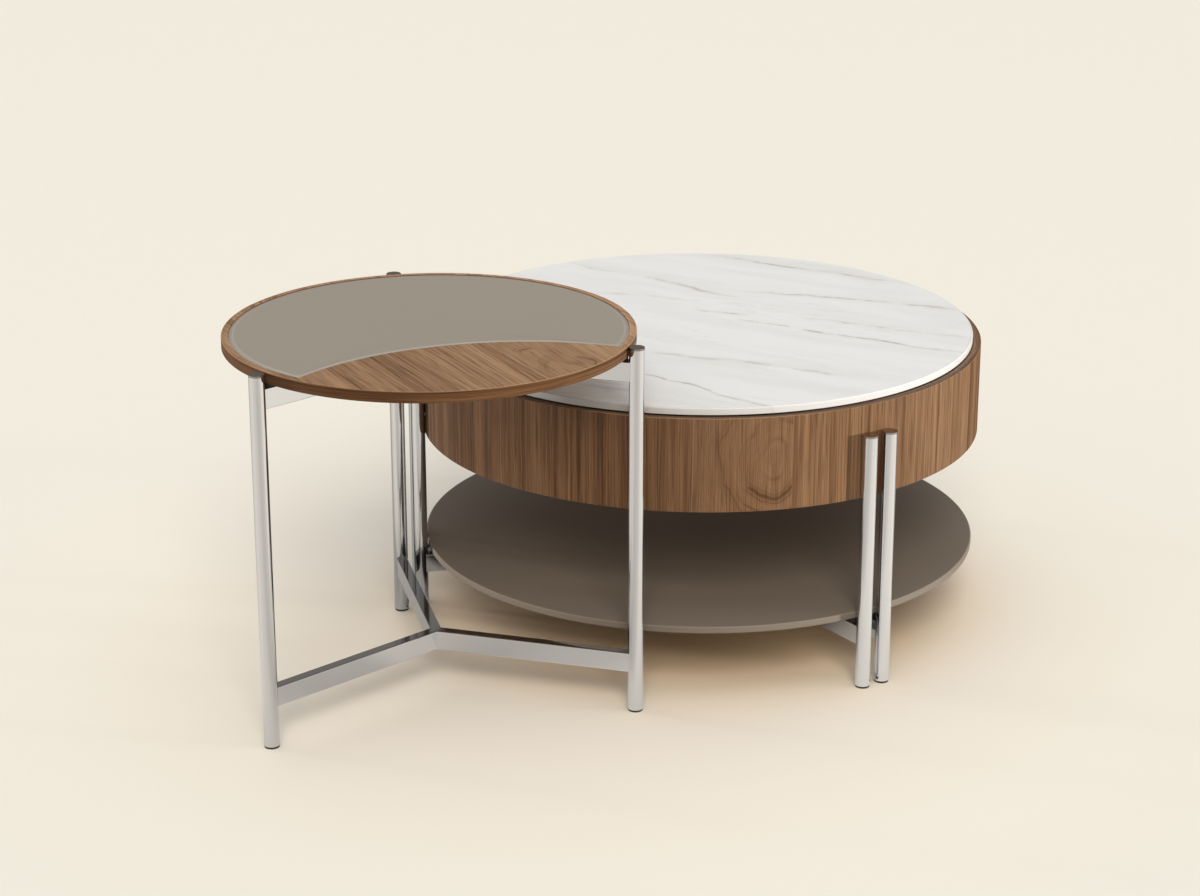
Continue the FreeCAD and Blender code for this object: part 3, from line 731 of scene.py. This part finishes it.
def drumHoop():
    low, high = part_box("drum_hoop")
    radius = (high.x - low.x) / 2
    # The veneer's seam is behind the drum, and a figured leaf comes to its place in front
    seam = math.radians(drum["seamAngle"])
    ovalArc = (math.radians(drumVeneer["ovalAngle"]) - seam) % (2 * math.pi) * radius
    finish = walnutFinish("walnutDrum", drumVeneer, ovalArc, drumVeneer["ovalHeight"])
    inner = radius - drum["wall"]
    profile = rimProfile(radius, low.z, high.z, drum["edgeRound"])
    profile += [(inner, high.z, 0.0), (inner, low.z, 0.0)]
    piece = turned("drumHoop", profile, coffeeCentre, drum["sides"], finish, closed=True)

    def rule(face, place):
        around = arcAround(coffeeCentre, face, place, seam) * radius
        if abs(face.normal.z) > flatFace:
            return around, math.hypot(place.x - coffeeCentre.x, place.y - coffeeCentre.y)
        return place.z, around
    grainMap(piece, rule)
    return piece


paleSlab = coffeeDisc("paleSlab", "marble_top", slab, finishes["stone_look_glass"])
handOver(paleSlab, "coffee_table", "stone_look_glass", "marble_top")
handOver(drumHoop(), "coffee_table", "walnut", "drum_hoop")
openShelf = coffeeDisc("openShelf", "shelf_panel", shelf, finishes["taupe_lacquer"])
handOver(openShelf, "coffee_table", "taupe_lacquer", "shelf_panel")
print("slab, drum and shelf made")


# Legs of both tables, with their caps and glides, and the pads
leg = {"wall": 0.0012, "tubeRound": 0.0005, "capRound": 0.0005, "glideRound": 0.0006, "glideInset": 0.0004,
       "sides": 96}
pad = {"edgeRound": 0.0006, "sides": 48}
padRows = [
    {"name": "shelfPads", "node": "shelf_pads", "count": 12, "body": "coffee_table", "bore": 0.0},
    {"name": "topBarPads", "node": "top_bar_pads", "count": 6, "body": "side_table", "bore": 0.0028},
]


def legSet(prefix, legNames, body):
    tubes = [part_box(name) for name in legNames]
    feet = [((low.x + high.x) / 2, (low.y + high.y) / 2) for low, high in tubes]
    low, high = tubes[0]
    radius = max(high.x - low.x, high.y - low.y) / 2
    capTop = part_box(prefix + "_leg_caps")[1].z

    def legPiece(name, bottom, top, outer, inner, edgeRound, finish, slot, *nodes):
        piece = setOnPoints(prefix + name, [(x, y, bottom) for x, y in feet], {
            "Outer Radius": outer, "Inner Radius": inner, "Height": top - bottom, "Edge Round": edgeRound,
            "Sides": leg["sides"], "Finish": finishes[finish]})
        handOver(piece, body, slot, *nodes)

    legPiece("LegTubes", low.z, high.z, radius, radius - leg["wall"], leg["tubeRound"],
             "chrome", "chrome", *legNames)
    legPiece("LegCaps", high.z, capTop, radius, 0.0, leg["capRound"],
             "capChromePaintedDark", "chrome", prefix + "_leg_caps")
    legPiece("LegGlides", 0.0, low.z, radius - leg["glideInset"], 0.0, leg["glideRound"],
             "black_plastic", "black_plastic", prefix + "_leg_glides")


def padSet(row):
    boxes = islandBoxes(row["node"], row["count"])
    places = [((low.x + high.x) / 2, (low.y + high.y) / 2, low.z) for low, high in boxes]
    low, high = boxes[0]
    piece = setOnPoints(row["name"], places, {
        "Outer Radius": (high.x - low.x) / 2, "Inner Radius": row["bore"], "Height": high.z - low.z,
        "Edge Round": pad["edgeRound"], "Sides": pad["sides"], "Finish": finishes["rubber"]})
    handOver(piece, row["body"], "rubber", row["node"])


legSet("side", sideLegNames, "side_table")
legSet("coffee", coffeeLegNames, "coffee_table")
for row in padRows:
    padSet(row)
print("legs and pads made")

# The other pieces keep the frame's own shapes
slotOf = {row["node"]: row["material_slot"] for row in frame["record"]["subparts"]}
for node, piece in frame["nodes"].items():
    for place in piece.material_slots:
        place.material = finishes.get(slotOf[node], topWalnut)
print("frame pieces dressed")

# Camera at the photo's angle
photoCamera = {"place": (-2.3414, -2.4478, 1.4234), "down": 19.0907, "turn": -43.63,
               "lens": 82.90, "sensor": 36.0, "sight": 200.0}


def standCamera():
    data = bpy.data.cameras.new("photoCamera")
    data.lens = photoCamera["lens"]
    data.sensor_width = photoCamera["sensor"]
    data.sensor_fit = "HORIZONTAL"
    data.clip_end = photoCamera["sight"]
    camera = bpy.data.objects.new("photoCamera", data)
    camera.location = photoCamera["place"]
    camera.rotation_euler = (math.radians(90 - photoCamera["down"]), 0.0, math.radians(photoCamera["turn"]))
    bpy.context.scene.collection.objects.link(camera)
    bpy.context.scene.camera = camera


# How bright the room looks in the chrome, by the turn from the photo's side to its right, in half turns
mirrorRoom = [(-1.0, 0.80), (-0.72, 0.50), (-0.58, 0.92), (-0.4, 1.00), (-0.22, 0.88), (0.0, 0.72),
              (0.16, 0.80), (0.34, 1.08), (0.55, 1.22), (0.63, 0.40), (0.70, 0.06), (0.85, 0.06),
              (0.94, 0.80), (1.0, 0.80)]
backdrop = (0.896, 0.839, 0.730, 1.0)


def roomTones(tree, way):
    turn = math.radians(photoCamera["turn"])
    front = vectorCalc(tree, "DOT_PRODUCT", way, (math.sin(turn), -math.cos(turn), 0.0))["Value"]
    right = vectorCalc(tree, "DOT_PRODUCT", way, (math.cos(turn), math.sin(turn), 0.0))["Value"]
    around = remap(tree, calc(tree, "ARCTAN2", right, front), -math.pi, math.pi)
    tones = ramp(tree, around, [((halfTurn + 1) / 2, (level,) * 3) for halfTurn, level in mirrorRoom])
    tones.node.color_ramp.interpolation = "EASE"
    return tones


# Floor: its spans are distances in metres over which one colour goes into the next
paleFloor = {
    "size": 40.0,
    "roughness": 0.85,
    "sheen": 0.2,
    "far": (0.895, 0.855, 0.748, 1.0),
    "paintedLightByTables": (0.965, 0.892, 0.762, 1.0),
    # Painted light by the tables and painted warm shade under the drum
    "paintedLightByTablesSpan": (0.3, 1.1),
    "paintedWarmShadeUnderDrum": (0.96, 0.66, 0.36, 1.0),
    "paintedWarmShadeUnderDrumSpan": (0.12, 0.50),
    "bounced": (0.10, 0.08, 0.06, 1.0),
    "mirroredNear": (0.86, 0.82, 0.73, 1.0),
    "mirroredSpan": (0.25, 0.6),
    "farLegTone": (0.80, 0.80, 0.80, 1.0),
    "farLegSpan": (0.30, 0.55),
}


def floorFinish():
    material, tree, shader = newFinish("paleFloor", Roughness=paleFloor["roughness"],
                                       Specular_IOR_Level=paleFloor["sheen"])
    path = addNode(tree, "ShaderNodeLightPath").outputs
    place = objectPlace(tree)
    reach = vectorCalc(tree, "LENGTH", place)["Value"]

    def blend(distance, name, near, far):
        return mixColour(tree, remap(tree, distance, *paleFloor[name], smooth=True), near, far)

    # What is seen: painted light that makes the floor paler and warmer by the tables, lifting their shade,
    # and painted warm shade under the drum
    byDrum = vectorCalc(tree, "DISTANCE", place, onFloor(coffeeCentre))["Value"]
    pale = blend(reach, "paintedLightByTablesSpan", paleFloor["paintedLightByTables"], paleFloor["far"])
    pale = blend(byDrum, "paintedWarmShadeUnderDrumSpan", paleFloor["paintedWarmShadeUnderDrum"], pale)
    # The chrome sees the floor by the room's tones, but evenly by the far legs
    bySide = vectorCalc(tree, "SUBTRACT", place, onFloor(sideCentre))["Vector"]
    byFarLegs = vectorCalc(tree, "DISTANCE", place, onFloor(middle("coffee_leg_far_a")))["Value"]
    tones = blend(byFarLegs, "farLegSpan", paleFloor["farLegTone"], roomTones(tree, bySide))
    mirrored = blend(reach, "mirroredSpan", paleFloor["mirroredNear"], backdrop)
    mirrored = mixColour(tree, 1.0, mirrored, tones, "MULTIPLY")
    # Light bounced from the floor is weaker
    seen = calc(tree, "MAXIMUM", path["Is Camera Ray"], path["Is Transmission Ray"])
    colour = mixColour(tree, seen, paleFloor["bounced"], pale)
    plug(tree, shader, Base_Color=mixColour(tree, path["Is Glossy Ray"], colour, mirrored))
    return material


def layFloor():
    reach = paleFloor["size"]
    corners = [(-reach, -reach, 0), (reach, -reach, 0), (reach, reach, 0), (-reach, reach, 0)]
    data = bpy.data.meshes.new("floor")
    data.from_pydata(corners, [], [(0, 1, 2, 3)])
    floor = bpy.data.objects.new("floor", data)
    bpy.context.scene.collection.objects.link(floor)
    data.materials.append(floorFinish())


# Lamps, by the way they stand from the tables and how wide they look, in degrees
lamps = [
    {"name": "rightLamp", "azimuth": -54.0, "elevation": 1.0, "level": 3.9, "spread": 5.0,
     "colour": (1.0, 0.99, 0.97)},
    {"name": "frontLamp", "azimuth": -130.0, "elevation": 37.0, "level": 1.68, "spread": 28.0,
     "colour": (1.0, 0.93, 0.84)},
    {"name": "topLamp", "azimuth": -133.0, "elevation": 76.0, "level": 0.2, "spread": 36.0,
     "colour": (0.97, 1.0, 1.04)},
    {"name": "backLamp", "azimuth": 116.0, "elevation": 1.0, "level": 4.0, "spread": 6.0,
     "colour": (1.0, 0.99, 0.97)},
]


def hangLamps():
    for row in lamps:
        light = bpy.data.lights.new(row["name"], "SUN")
        light.energy = row["level"]
        light.angle = math.radians(row["spread"])
        light.color = row["colour"]
        lamp = bpy.data.objects.new(row["name"], light)
        lamp.rotation_euler = (math.radians(90 - row["elevation"]), 0.0, math.radians(row["azimuth"] + 90))
        lamp.visible_glossy = False
        bpy.context.scene.collection.objects.link(lamp)


# A dome of light, stronger and whiter from above; its spans go by how steeply one looks up
dome = {"low": (1.0, 0.60, 0.34, 1.0), "high": (0.955, 1.03, 1.115, 1.0), "colourSpan": (0.1, 0.7),
        "levelSpan": (0.0, 0.55, 0.05, 0.67), "mirroredSpan": (0.0, 0.22, 1.0, 0.25)}


def surround():
    world = bpy.data.worlds.new("room")
    world.use_nodes = True
    tree = world.node_tree
    tree.nodes.clear()
    path = addNode(tree, "ShaderNodeLightPath").outputs
    way = addNode(tree, "ShaderNodeTexCoord").outputs["Generated"]
    rise = addNode(tree, "ShaderNodeSeparateXYZ", {0: way}).outputs[2]

    def shine(colour, strength):
        return addNode(tree, "ShaderNodeBackground", {"Color": colour, "Strength": strength}).outputs[0]

    def either(share, first, second):
        return addNode(tree, "ShaderNodeMixShader", {0: share, 1: first, 2: second}).outputs[0]

    fall = remap(tree, rise, *dome["mirroredSpan"], smooth=True)
    mirrored = shine(backdrop, calc(tree, "MULTIPLY", roomTones(tree, way), fall))
    domeColour = mixColour(tree, remap(tree, rise, *dome["colourSpan"]), dome["low"], dome["high"])
    shining = shine(domeColour, remap(tree, rise, *dome["levelSpan"], smooth=True))
    seen = calc(tree, "MAXIMUM", path["Is Camera Ray"], path["Is Transmission Ray"])
    shown = either(seen, either(path["Is Glossy Ray"], shining, mirrored), shine(backdrop, 1.0))
    addNode(tree, "ShaderNodeOutputWorld", {"Surface": shown})
    bpy.context.scene.world = world


layFloor()
hangLamps()
surround()
standCamera()
bpy.context.scene.view_settings.view_transform = "Standard"
print("floor, lamps and camera set")
